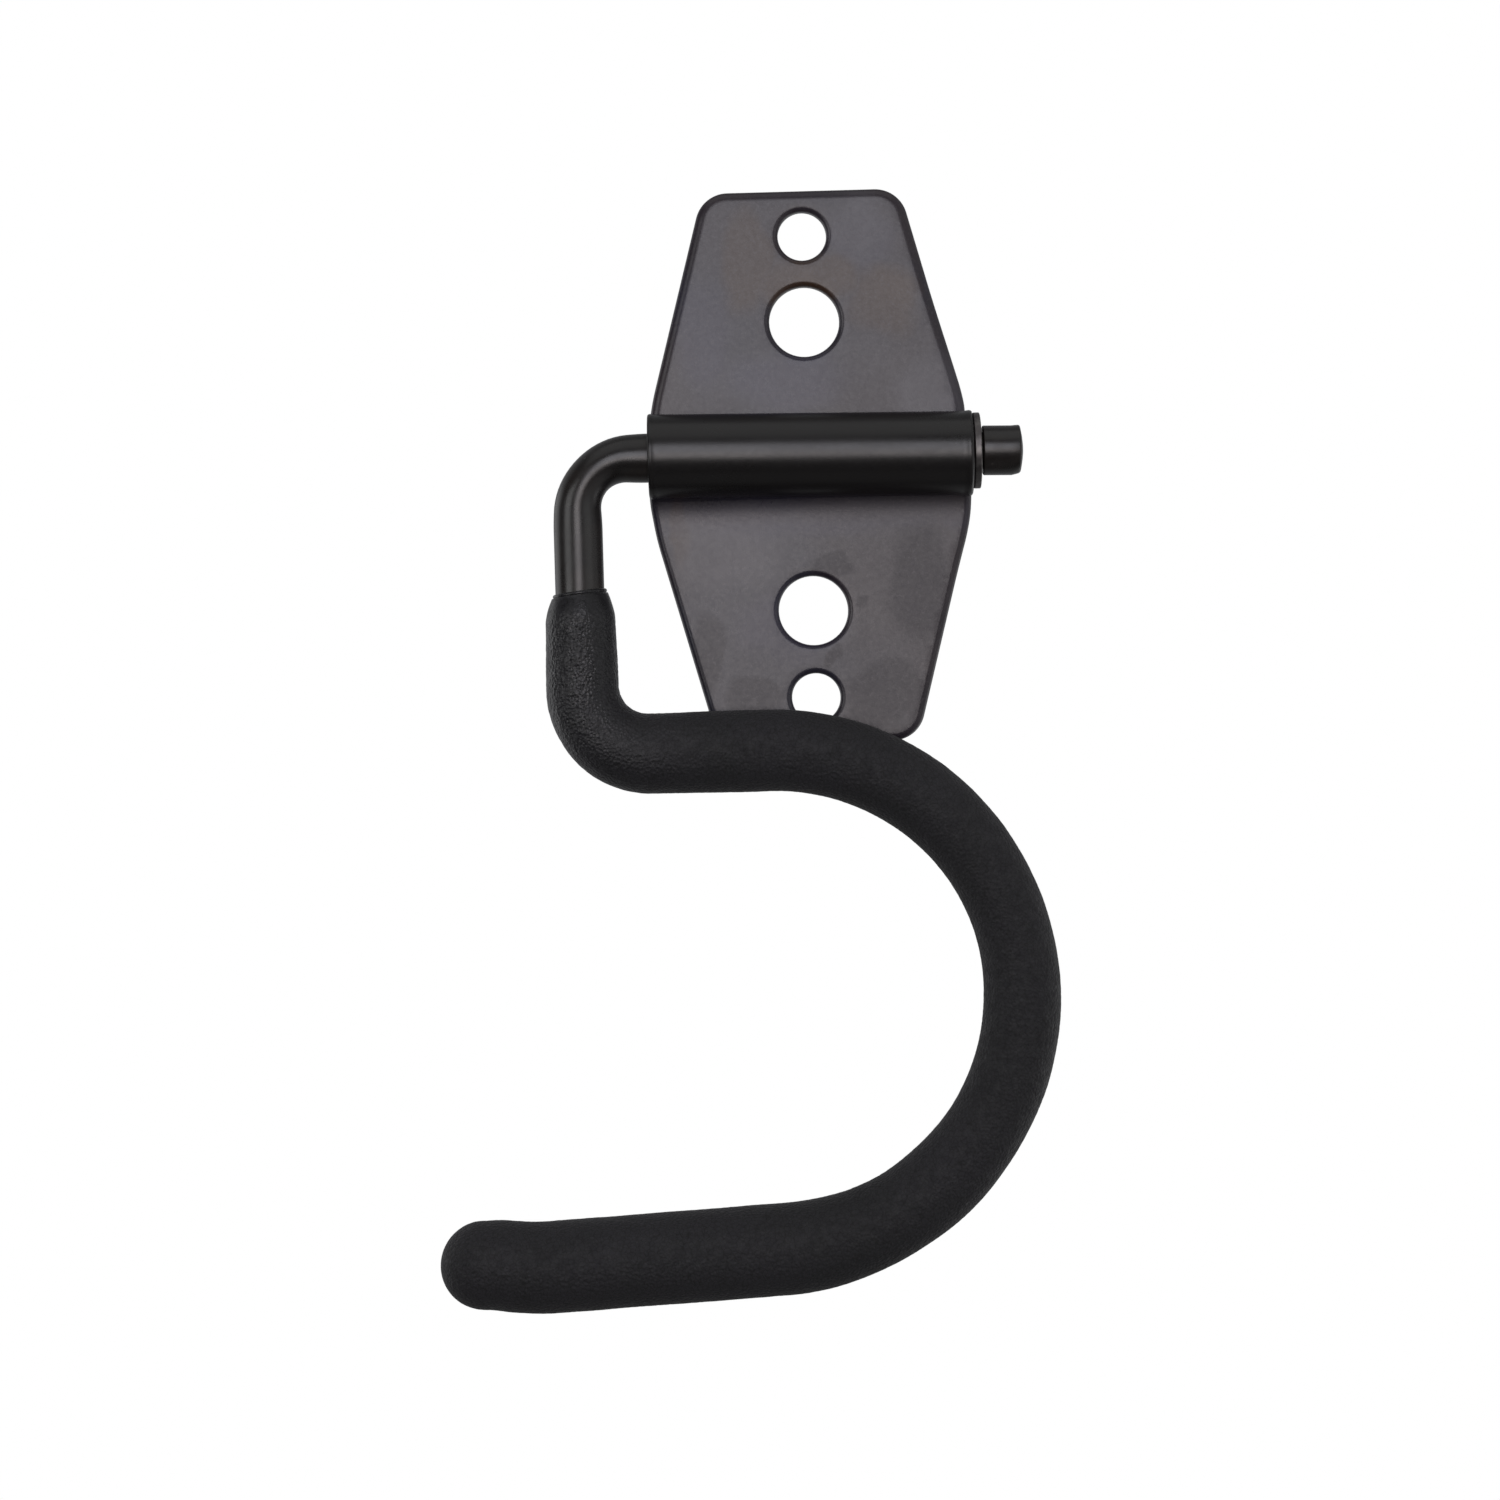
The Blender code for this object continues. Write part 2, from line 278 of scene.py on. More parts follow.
def point_on_route(distance):
    """(x, z, heading) at a distance along the route. A heading of 0 is up, pi / 2 is -X."""
    x, z, heading = AXIS_X, ROD_LOW_END_Z, 0.0
    for piece in ROUTE:
        length = min(distance, piece_length(piece))
        distance -= length
        if piece[0] == "line":
            x -= length * math.sin(heading)
            z += length * math.cos(heading)
            continue
        turned = math.copysign(length / piece[1], piece[2])
        side = math.copysign(piece[1], piece[2])
        x += side * (math.cos(heading + turned) - math.cos(heading))
        z += side * (math.sin(heading + turned) - math.sin(heading))
        heading += turned
    return x, z, heading


def swept(name, stations, sides, material, set_off=None, slant=None):
    """A tube along the route. A station is (distance, radius, in-plane scale, lift function or None).

    A radius of 0 makes the station a single point, which closes the end. set_off(distance) moves a
    station sideways in the hook's plane, and slant(distance) tips it, one side ahead of the other.
    """
    points = []
    uvs = []
    rings = []
    for distance, radius, flatten, relief in stations:
        x, z, heading = point_on_route(distance)
        count = sides if radius > 0 else 1
        shift = set_off(distance) if set_off else 0.0
        tip = slant(distance) if slant else 0.0
        ring = []
        for i in range(count):
            angle = 2 * math.pi * i / sides
            lifted = radius + (relief(distance, angle) if relief else 0.0)
            across = lifted * math.cos(angle) * flatten + shift
            out = lifted * math.sin(angle) * (2 - flatten) ** 0.5
            ahead = tip * math.cos(angle)
            ring.append(len(points))
            points.append((
                x + across * math.cos(heading) - ahead * math.sin(heading),
                AXIS_Y - out,
                z + across * math.sin(heading) + ahead * math.cos(heading),
            ))
            uvs.append((distance * UV_PER_METRE, i / sides))
        rings.append(ring)
    faces = []
    for low, high in zip(rings, rings[1:]):
        for i in range(sides):
            j = (i + 1) % sides
            face = [low[i % len(low)], low[j % len(low)], high[j % len(high)], high[i % len(high)]]
            faces.append(list(dict.fromkeys(face)))
    return mesh_object(name, points, faces, material, uvs)


def spread(start, end, step):
    count = max(1, math.ceil((end - start) / step))
    return [start + (end - start) * i / count for i in range(count + 1)]


# Materials


class Nodes:
    """Short calls for building one Principled material."""

    def __init__(self, name):
        self.material = bpy.data.materials.new(name)
        self.material.use_nodes = True
        self.tree = self.material.node_tree
        self.shader = self.tree.nodes["Principled BSDF"]
        self.place = self.add("ShaderNodeTexCoord").outputs["Object"]

    def add(self, kind, **settings):
        node = self.tree.nodes.new(kind)
        for key, value in settings.items():
            setattr(node, key, value)
        return node

    def link(self, source, target):
        self.tree.links.new(source, target)

    def scaled(self, factors, place=None):
        node = self.add("ShaderNodeMapping")
        node.inputs["Scale"].default_value = factors
        self.link(place or self.place, node.inputs["Vector"])
        return node.outputs["Vector"]

    def noise(self, scale, detail=3.0, roughness=0.55, place=None, distortion=0.0):
        node = self.add("ShaderNodeTexNoise")
        node.inputs["Scale"].default_value = scale
        node.inputs["Detail"].default_value = detail
        node.inputs["Roughness"].default_value = roughness
        node.inputs["Distortion"].default_value = distortion
        self.link(place or self.place, node.inputs["Vector"])
        return node.outputs["Fac"]

    def cells(self, scale, feature="F1", place=None):
        node = self.add("ShaderNodeTexVoronoi", feature=feature)
        node.inputs["Scale"].default_value = scale
        self.link(place or self.place, node.inputs["Vector"])
        return node.outputs["Distance"]

    def ranged(self, source, low, high, to_low=0.0, to_high=1.0):
        node = self.add("ShaderNodeMapRange", interpolation_type="SMOOTHSTEP")
        self.link(source, node.inputs["Value"])
        node.inputs["From Min"].default_value = low
        node.inputs["From Max"].default_value = high
        node.inputs["To Min"].default_value = to_low
        node.inputs["To Max"].default_value = to_high
        return node.outputs["Result"]

    def math(self, operation, first, second):
        node = self.add("ShaderNodeMath", operation=operation)
        for socket, value in zip(node.inputs, (first, second)):
            if isinstance(value, (int, float)):
                socket.default_value = value
            else:
                self.link(value, socket)
        return node.outputs["Value"]

    def mixed(self, share, first, second):
        node = self.add("ShaderNodeMix", data_type="RGBA")
        sockets = (node.inputs[0], node.inputs[6], node.inputs[7])
        for socket, value in zip(sockets, (share, first, second)):
            if isinstance(value, tuple):
                socket.default_value = (*value, 1)
            elif isinstance(value, (int, float)):
                socket.default_value = value
            else:
                self.link(value, socket)
        return node.outputs[2]

    def bump(self, height, depth, before=None):
        node = self.add("ShaderNodeBump")
        node.inputs["Strength"].default_value = 1.0
        node.inputs["Distance"].default_value = depth
        self.link(height, node.inputs["Height"])
        if before is not None:
            self.link(before, node.inputs["Normal"])
        return node.outputs["Normal"]

    def finish(self, colour, roughness, normal, **uniform):
        self.link(colour, self.shader.inputs["Base Color"])
        self.link(roughness, self.shader.inputs["Roughness"])
        self.link(normal, self.shader.inputs["Normal"])
        for key, value in uniform.items():
            self.shader.inputs[key.replace("_", " ")].default_value = value
        return self.material


# Marks on the plate's front as (x, z, half length along x, half length along z) in mm
SMEARS = (
    (-20.3, -18.0, 9.5, 5.0),
    (-30.0, 17.8, 6.0, 3.2),
    (-38.5, 10.4, 3.2, 5.2),
    (-16.9, -3.4, 1.8, 3.0),
    (-38.0, -12.0, 5.5, 7.5),
    (-31.4, -3.0, 1.5, 1.1),
    (-22.7, -8.2, 1.0, 1.0),
)
WARM_PATCHES = (
    (34.4, 9.5, 9.0, 4.5),
    (27.0, -13.5, 6.5, 6.5),
    (31.0, -1.0, 4.0, 9.0),
    (-10.5, 21.0, 5.0, 2.0),
)
LILAC_PATCHES_AND_REFLECTION_TINT = (
    (22.0, 16.5, 9.0, 5.0),
    (14.0, 3.0, 4.5, 9.0),
    (37.0, -9.5, 5.0, 4.5),
    (-26.0, 4.0, 6.0, 8.0),
    # A painted reflection: a lilac strip across the whole leaf right under the barrel, where its rise
    # reflects light from below
    (-8.0, 0.0, 4.0, 28.0),
)
PALE_PATCHES = (
    (39.0, -9.0, 5.5, 4.0),
    (12.0, -20.0, 6.0, 5.0),
    (-14.0, 14.0, 5.0, 8.0),
)


def marks(n, table, softness):
    """1 inside any of a table's ovals, whose outlines wander a little, and 0 outside them."""
    reach = 7 * MM
    wander = n.add("ShaderNodeTexNoise")
    wander.inputs["Scale"].default_value = 110
    wander.inputs["Detail"].default_value = 2
    n.link(n.place, wander.inputs["Vector"])
    offset = n.add("ShaderNodeVectorMath", operation="MULTIPLY_ADD")
    n.link(wander.outputs["Color"], offset.inputs[0])
    offset.inputs[1].default_value = (reach, 0, reach)
    n.link(n.place, offset.inputs[2])
    total = None
    for x, z, long, wide in table:
        scale_x = 1 / (long * MM)
        scale_z = 1 / (wide * MM)
        move = n.add("ShaderNodeMapping")
        move.inputs["Scale"].default_value = (scale_x, 0, scale_z)
        middle = (-(x * MM + reach / 2) * scale_x, 0, -(z * MM + reach / 2) * scale_z)
        move.inputs["Location"].default_value = middle
        n.link(offset.outputs["Vector"], move.inputs["Vector"])
        away = n.add("ShaderNodeVectorMath", operation="LENGTH")
        n.link(move.outputs["Vector"], away.inputs[0])
        mark = n.ranged(away.outputs["Value"], 1 - softness, 1 + softness, 1.0, 0.0)
        total = mark if total is None else n.math("MAXIMUM", total, mark)
    return total


def plate_paint():
    """Satin black coat: brown and lilac haze on the flat leaves, a few smears, a painted lilac
    reflection in the strip under the barrel, and a fine grain.
    """
    n = Nodes("plate_paint")
    split = n.add("ShaderNodeSeparateXYZ")
    n.link(n.place, split.inputs[0])
    flat = n.ranged(split.outputs["Y"], -5 * MM, -2.4 * MM)
    front = n.ranged(split.outputs["Y"], -2.2 * MM, -1.8 * MM, 1.0, 0.0)
    clouds = n.ranged(n.noise(38, 3, 0.5, distortion=0.4), 0.35, 0.65)
    tint = n.ranged(n.noise(24, 2, 0.5), 0.42, 0.58)
    smears = n.math("MULTIPLY", n.math("MULTIPLY", marks(n, SMEARS, 0.22), flat), front)
    warm = n.math("MAXIMUM", n.math("MULTIPLY", tint, 0.3), marks(n, WARM_PATCHES, 0.35))
    haze = n.mixed(warm, (0.024, 0.023, 0.036), (0.052, 0.026, 0.012))
    # Lilac patches of the coat, and the painted lilac reflection in the strip under the barrel
    haze = n.mixed(n.math("MULTIPLY", marks(n, LILAC_PATCHES_AND_REFLECTION_TINT, 0.4), 0.6), haze, (0.036, 0.032, 0.062))
    haze = n.mixed(n.math("MULTIPLY", marks(n, PALE_PATCHES, 0.5), 0.7), haze, (0.080, 0.074, 0.088))
    haze = n.mixed(n.math("MULTIPLY", clouds, 0.35), haze, (0.042, 0.035, 0.044))
    haze = n.mixed(n.math("MULTIPLY", smears, 0.65), haze, (0.013, 0.008, 0.014))
    colour = n.mixed(flat, (0.012, 0.011, 0.011), haze)
    grain = n.math("MULTIPLY", n.ranged(n.noise(2200, 2, 0.5), 0.52, 0.72), 0.3)
    colour = n.mixed(n.math("MULTIPLY", grain, flat), colour, (0.085, 0.075, 0.085))
    fine = n.noise(1500, 2, 0.5)
    rough = n.ranged(clouds, 0, 1, 0.29, 0.32)
    rough = n.math("ADD", rough, n.math("MULTIPLY", smears, 0.035))
    rough = n.math("ADD", rough, n.ranged(fine, 0.3, 0.7, -0.02, 0.02))
    normal = n.bump(n.noise(120, 2, 0.5), 0.00003)
    normal = n.bump(n.math("MULTIPLY", fine, flat), 0.000006, normal)
    return n.finish(colour, rough, normal, Metallic=0.0, Specular_IOR_Level=0.55)


def rod_paint():
    """Satin black coat on bright bar: faint marks round and along the bar."""
    n = Nodes("rod_paint")
    along = n.add("ShaderNodeUVMap", uv_map="UVMap").outputs["UV"]
    streaks = n.noise(6, 3, 0.6, place=n.scaled((6.0, 60.0, 1.0), along))
    clouds = n.ranged(n.noise(80, 4, 0.6), 0.35, 0.7)
    colour = n.mixed(clouds, (0.012, 0.011, 0.011), (0.022, 0.018, 0.016))
    colour = n.mixed(n.ranged(streaks, 0.55, 0.8, 0.0, 0.5), colour, (0.040, 0.030, 0.026))
    scuffs = n.ranged(n.cells(300), 0.04, 0.08, 1.0, 0.0)
    colour = n.mixed(n.math("MULTIPLY", scuffs, 0.35), colour, (0.10, 0.09, 0.085))
    rough = n.ranged(n.noise(240, 4, 0.65), 0.3, 0.7, 0.26, 0.33)
    normal = n.bump(n.noise(420, 2, 0.5), 0.000008)
    normal = n.bump(streaks, 0.000004, normal)
    return n.finish(colour, rough, normal, Metallic=0.0, Specular_IOR_Level=0.6)


def ring_steel():
    """Black oxide on spring steel, rubbed grey in places."""
    n = Nodes("ring_steel")
    rubbed = n.ranged(n.noise(500, 3, 0.6), 0.4, 0.65)
    colour = n.mixed(rubbed, (0.13, 0.12, 0.12), (0.20, 0.19, 0.185))
    rough = n.ranged(n.noise(800, 3, 0.6), 0.3, 0.7, 0.36, 0.48)
    normal = n.bump(n.noise(1200, 2, 0.5), 0.00001)
    return n.finish(colour, rough, normal, Metallic=0.9)


def foam():
    """Matte black foam skin with a fine leathery grain, shinier where the neck stretches it. Its
    furrows carry painted shade, and its light specks are partly painted glints.
    """
    n = Nodes("foam")
    split = n.add("ShaderNodeSeparateXYZ")
    n.link(n.add("ShaderNodeUVMap", uv_map="UVMap").outputs["UV"], split.inputs[0])

    def from_mouth(start, end, at_start, at_end):
        """Eases between two values along the sleeve, from and to distances in mm from its mouth."""
        low = (NECK + start * MM) * UV_PER_METRE
        high = (NECK + end * MM) * UV_PER_METRE
        return n.ranged(split.outputs["X"], low, high, at_start, at_end)

    stretched = from_mouth(12, 48, 1.0, 0.0)
    bead = from_mouth(0.6, 0.9, 1.0, 0.0)
    grain = n.cells(1900)
    # Painted shade: a network of furrows in the grain, darker towards the cells' edges
    crease_shade = n.cells(1300, "DISTANCE_TO_EDGE")
    clouds = n.ranged(n.noise(45, 3, 0.6), 0.35, 0.7)
    colour = n.mixed(clouds, (0.016, 0.016, 0.018), (0.021, 0.020, 0.024))
    # Painted shade darkens the grain's furrows
    colour = n.mixed(n.ranged(crease_shade, 0.0, 0.12, 0.7, 0.0), colour, (0.006, 0.006, 0.006))
    # Light specks: dusty bits, and painted glints of the grain's facets
    dust_and_glints = n.ranged(n.noise(1500, 3, 0.7), 0.62, 0.8, 0.0, 0.35)
    colour = n.mixed(dust_and_glints, colour, (0.05, 0.05, 0.052))
    rough = n.ranged(n.noise(700, 3, 0.6), 0.3, 0.7, 0.66, 0.84)
    rough = n.math("SUBTRACT", rough, n.math("MULTIPLY", stretched, 0.42))
    rough = n.math("SUBTRACT", rough, n.math("MULTIPLY", bead, 0.12))
    grown = from_mouth(1, 7, 0.0, 1.0)
    normal = n.bump(n.math("MULTIPLY", grain, grown), 0.00015)
    normal = n.bump(n.noise(3200, 3, 0.65), 0.00004, normal)
    return n.finish(
        colour,
        rough,
        normal,
        Metallic=0.0,
        Specular_IOR_Level=0.45,
        Sheen_Weight=0.05,
        Sheen_Roughness=0.5,
    )


def pale_floor():
    n = Nodes("pale_floor")
    clouds = n.ranged(n.noise(3, 3, 0.5), 0.3, 0.7)
    colour = n.mixed(clouds, (0.78, 0.78, 0.78), (0.82, 0.82, 0.82))
    rough = n.ranged(n.noise(40, 3, 0.5), 0.3, 0.7, 0.75, 0.85)
    normal = n.bump(n.noise(200, 3, 0.5), 0.0002)
    return n.finish(colour, rough, normal, Emission_Color=(1, 1, 1, 1), Emission_Strength=FLOOR_GLOW)


# Wall plate: one sheet, drawn flat as (s, z), then folded along its section


def section_pieces():
    """The sheet's middle line from the -X end, as ("line", length) and ("bend", radius, angle).

    The front is on the line's left.
    """
    depth = -AXIS_Y
    outer = BARREL_INNER_RADIUS + SHEET
    offsets = []
    turns = []
    for fold in (SOFT_FOLD_RADIUS, SHARP_FOLD_RADIUS):
        height = depth - SHEET - fold
        offsets.append(math.sqrt((outer + fold) ** 2 - height**2))
        turns.append(math.pi / 2 + math.atan2(height, offsets[-1]))
    return (
        ("line", PLATE_HALF_LENGTH + AXIS_X - offsets[0]),
        ("bend", SOFT_FOLD_RADIUS + SHEET / 2, turns[0]),
        ("bend", BARREL_INNER_RADIUS + SHEET / 2, -(turns[0] + turns[1])),
        ("bend", SHARP_FOLD_RADIUS + SHEET / 2, turns[1]),
        ("line", PLATE_HALF_LENGTH - AXIS_X - offsets[1]),
    )


SECTION = section_pieces()
SECTION_STARTS = np.cumsum([0.0, *[piece_length(piece) for piece in SECTION]])
_, FOLD_START, BARREL_START, BARREL_END, FOLD_END, SHEET_LENGTH = SECTION_STARTS


def on_section(s):
    """(x, depth, heading) of the sheet's middle line at a distance s from the -X end."""
    x, depth, heading = -PLATE_HALF_LENGTH, SHEET / 2, 0.0
    for piece in SECTION:
        length = min(s, piece_length(piece))
        s -= length
        if piece[0] == "line":
            x += length * math.cos(heading)
            depth += length * math.sin(heading)
            continue
        turned = math.copysign(length / piece[1], piece[2])
        side = math.copysign(piece[1], piece[2])
        x += side * (math.sin(heading + turned) - math.sin(heading))
        depth -= side * (math.cos(heading + turned) - math.cos(heading))
        heading += turned
    return x, depth, heading


def half_width(x):
    """The leaf's half width at a distance x from the plate's centre, without the end corners."""
    x = abs(x)
    waist = PLATE_HALF_LENGTH - (PLATE_HALF_WIDTH - LEAF_END_HALF_WIDTH) / math.tan(LEAF_TAPER)
    setback = WAIST_CORNER_RADIUS * math.tan(LEAF_TAPER / 2)
    arc_start = waist - setback
    arc_end = waist + setback * math.cos(LEAF_TAPER)
    if x <= arc_start:
        return PLATE_HALF_WIDTH
    if x < arc_end:
        across = x - arc_start
        return PLATE_HALF_WIDTH - WAIST_CORNER_RADIUS + math.sqrt(WAIST_CORNER_RADIUS**2 - across**2)
    return PLATE_HALF_WIDTH - (x - waist) * math.tan(LEAF_TAPER)


def sheet_edge(s, side):
    """The flat sheet's edge at s, on the +Z side (1) or the -Z side (-1), eased over the folds."""
    x, _, _ = on_section(s)
    barrel = abs(BARREL_LEFT_END_Z if side > 0 else BARREL_RIGHT_END_Z)
    if BARREL_START <= s <= BARREL_END:
        return side * barrel
    if s < BARREL_START:
        away = eased(s, BARREL_START, FOLD_START)
    else:
        away = eased(s, BARREL_END, FOLD_END)
    return side * (barrel + (half_width(x) - barrel) * away)


def end_corner(side):
    """The +z corner arc of one leaf's end as (s, z), from the leaf's long edge to its end."""
    radius = LEAF_CORNER_RADIUS
    turn = math.pi / 2 - LEAF_TAPER
    setback = radius * math.tan(turn / 2)
    centre_x = PLATE_HALF_LENGTH - radius
    centre_z = LEAF_END_HALF_WIDTH - setback
    points = []
    for i in range(CORNER_STEPS + 1):
        angle = math.pi / 2 - LEAF_TAPER - turn * i / CORNER_STEPS
        points.append((centre_x + radius * math.cos(angle), centre_z + radius * math.sin(angle)))
    if side < 0:
        return [(PLATE_HALF_LENGTH - x, z) for x, z in points]
    return [(SHEET_LENGTH - PLATE_HALF_LENGTH + x, z) for x, z in points]


def sheet_outline():
    """The flat sheet's outline as (s, z), anticlockwise from the middle of the -X end."""
    left = end_corner(-1)
    right = end_corner(1)
    start, end = left[0][0], right[0][0]
    stops = spread(start, FOLD_START, MESH_STEP)
    stops += spread(FOLD_START, FOLD_END, FOLD_STEP)
    stops += spread(FOLD_END, end, MESH_STEP)
    stops = sorted(set(round(stop, 7) for stop in stops))
    stops = [s for s in stops if start + MESH_STEP / 2 < s < end - MESH_STEP / 2]
    top = [*reversed(left), *[(s, sheet_edge(s, 1)) for s in stops], *right]
    low = [*reversed(left), *[(s, -sheet_edge(s, -1)) for s in stops], *right]
    low_s, high_s = left[-1][0], right[-1][0]
    end_z = left[-1][1]
    across = spread(-end_z, end_z, MESH_STEP)[1:-1]
    right_end = [(high_s, z) for z in reversed(across)]
    left_end = [(low_s, z) for z in across]
    bottom = [(s, -z) for s, z in reversed(low)]
    loop = [*top, *right_end, *bottom, *left_end]
    return np.array(loop[::-1])


def inward(loop):
    """Unit normals to the left of a closed loop's direction."""
    tangent = np.roll(loop, -1, axis=0) - np.roll(loop, 1, axis=0)
    tangent /= np.linalg.norm(tangent, axis=1)[:, None]
    return np.column_stack((-tangent[:, 1], tangent[:, 0]))


def barrel_share(s):
    """1 on the barrel, 0 on the leaves, easing over the folds."""
    ease = 1.5 * MM
    return eased(s, BARREL_START - ease, BARREL_START) * eased(s, BARREL_END + ease, BARREL_END)


def skew_share(s):
    """How much of the barrel's skew the sheet takes at s: all on the barrel, none past the folds."""
    return eased(s, FOLD_START, BARREL_START) * eased(s, FOLD_END, BARREL_END)


def leaf_drift(s, x, z):
    """How far the leaves are off to the -Z side, where both are a little wider.

    The -X leaf also runs out of true, and flares on that side to meet the barrel's end.
    """
    wider = LEAF_EXTRA_WIDTH * eased(z, -8 * MM, -16 * MM)
    if x > 0:
        return wider * eased(x, 6 * MM, 10 * MM) * eased(x, 30 * MM, 10 * MM)
    flare = 1 + LEAF_FLARE * eased(x, -20 * MM, -5 * MM)
    off = (LEAF_OFF - LEAF_OFF_SLOPE * x) * eased(x, -5 * MM, -9 * MM)
    return wider * flare * (1 - skew_share(s)) + off


def edge_roll(s):
    """(width, drop) of the pressed front edge at s: wide on a leaf, small on the barrel's ends."""
    leaf = UPPER_LEAF_EDGE if s > (BARREL_START + BARREL_END) / 2 else LOWER_LEAF_EDGE
    share = barrel_share(s)
    return tuple(a + (b - a) * share for a, b in zip(leaf, BARREL_EDGE))


def sheet_point(s, z, lift):
    """The folded place of a point of the flat sheet. lift is from its middle, out of the front.

    The barrel's skew is all on its front and fades to nothing in its bore, so the bar turns clear.
    The leaf under the barrel rises towards it, and the leaves' fronts are a little wavy.
    """
    x, depth, heading = on_section(s)
    skew = (BARREL_SKEW * z - BARREL_DROP) * skew_share(s) * (lift / SHEET + 0.5)
    bell = BARREL_BELL * eased(abs(z), PLATE_HALF_WIDTH - 1.4 * MM, PLATE_HALF_WIDTH - 0.2 * MM)
    lift += bell * barrel_share(s)
    crest = FOLD_START + LEAF_RISE_CREST
    near = max(1 + min(s - crest, 0.0) / LEAF_RISE_REACH, 0.0)
    lift += LEAF_RISE * near**LEAF_RISE_POWER * eased(s, crest + LEAF_RISE_FADE, crest)
    if lift > 0:
        wave = noise.noise(Vector((s, z, 0.3)) * 42) + 0.5 * noise.noise(Vector((s, z, 7.0)) * 95)
        lift += SHEET_WAVE * wave * (1 - barrel_share(s))
    x += skew - lift * math.sin(heading)
    depth += lift * math.cos(heading)
    return x, -depth, z - leaf_drift(s, x, z)


def rolled_loops(loop, rolls, points, facing):
    """Adds a boundary's rings of points, from its back over its front. Returns their numbers."""
    normals = inward(loop) * facing
    rings = []
    for pull, level in ((BACK_EDGE, -SHEET / 2), (0.0, -SHEET / 2 + BACK_EDGE)):
        ring = []
        for (s, z), normal in zip(loop, normals):
            ring.append(len(points))
            points.append((s + normal[0] * pull, z + normal[1] * pull, level))
        rings.append(ring)
    for k in range(EDGE_STEPS + 1):
        angle = math.pi / 2 * k / EDGE_STEPS
        ring = []
        for (s, z), normal, (width, drop) in zip(loop, normals, rolls):
            pull = width * (1 - math.cos(angle))
            level = SHEET / 2 - drop * (1 - math.sin(angle))
            ring.append(len(points))
            points.append((s + normal[0] * pull, z + normal[1] * pull, level))
        rings.append(ring)
    return rings


def ring_faces(rings, faces):
    for low, high in zip(rings, rings[1:]):
        for i in range(len(low)):
            j = (i + 1) % len(low)
            faces.append([low[i], low[j], high[j], high[i]])


def lattice():
    """Inner points of the flat sheet, close together across the folds and the barrel."""
    rows = []
    rise_start = FOLD_START - LEAF_RISE_REACH
    for low, high, step in (
        (0.0, rise_start, COARSE_STEP),
        (rise_start, FOLD_START, 0.4 * MM),
        (FOLD_START, FOLD_END, FOLD_STEP),
        (FOLD_END, SHEET_LENGTH, COARSE_STEP),
    ):
        rows += spread(low, high, step)[1:]
    columns = spread(-PLATE_HALF_WIDTH, PLATE_HALF_WIDTH, COARSE_STEP)
    ends = [PLATE_HALF_WIDTH - away * MM for away in (0.7, 1.1, 1.6, 2.1, 2.6)]
    columns = sorted([*columns, *ends, *[-z for z in ends]])
    return np.array([(s, z) for s in rows for z in columns])


def inside(loop, places):
    """Which places are inside a closed loop."""
    x, y = places[:, 0], places[:, 1]
    within = np.zeros(len(places), bool)
    for (x0, y0), (x1, y1) in zip(loop, np.roll(loop, -1, axis=0)):
        crosses = (y0 > y) != (y1 > y)
        if y1 != y0:
            within ^= crosses & (x < (x1 - x0) * (y - y0) / (y1 - y0) + x0)
    return within


def clear_of(loop, places, distance):
    gaps = np.sqrt(((places[:, None, :] - loop[None, :, :]) ** 2).sum(-1)).min(1)
    return gaps > distance


def skin(borders, points, faces, lift, loops):
    """Fills the sheet between its borders' loops at one level with triangles."""
    places = lattice()
    outer = loops[0]
    keep = inside(outer, places) & clear_of(outer, places, GAP_TO_EDGE)
    for loop in loops[1:]:
        keep &= ~inside(loop, places) & clear_of(loop, places, GAP_TO_HOLE)
    places = places[keep]
    coords = [Vector(p) for loop in loops for p in loop] + [Vector(p) for p in places]
    edges = []
    start = 0
    for loop in loops:
        edges += [(start + i, start + (i + 1) % len(loop)) for i in range(len(loop))]
        start += len(loop)
    scaled = [p * MM_PER_METRE for p in coords]
    out = geometry.delaunay_2d_cdt(scaled, edges, [], 1, 1e-5, True)
    numbers = [number for ring in borders for number in ring]
    first = len(points)
    points += [(p[0], p[1], lift) for p in places]
    numbers += list(range(first, first + len(places)))
    source = [ids[0] for ids in out[3]]
    flat = np.array([(v[0] / MM_PER_METRE, v[1] / MM_PER_METRE) for v in out[0]])
    triangles = np.array([f for f in out[2] if len(f) == 3])
    middles = flat[triangles].mean(axis=1)
    sides = flat[triangles[:, 1:]] - flat[triangles[:, :1]]
    areas = np.abs(sides[:, 0, 0] * sides[:, 1, 1] - sides[:, 0, 1] * sides[:, 1, 0]) / 2
    keep = inside(outer, middles) & (areas > SMALLEST_TRIANGLE)
    for loop in loops[1:]:
        keep &= ~inside(loop, middles)
    for triangle in triangles[keep]:
        corners = [numbers[source[v]] for v in triangle]
        if len(set(corners)) == 3:
            faces.append(corners)


def hole_loop(s, radius):
    angles = [2 * math.pi * i / HOLE_SIDES for i in range(HOLE_SIDES)]
    return np.array([(s + radius * math.cos(a), radius * math.sin(a)) for a in angles])


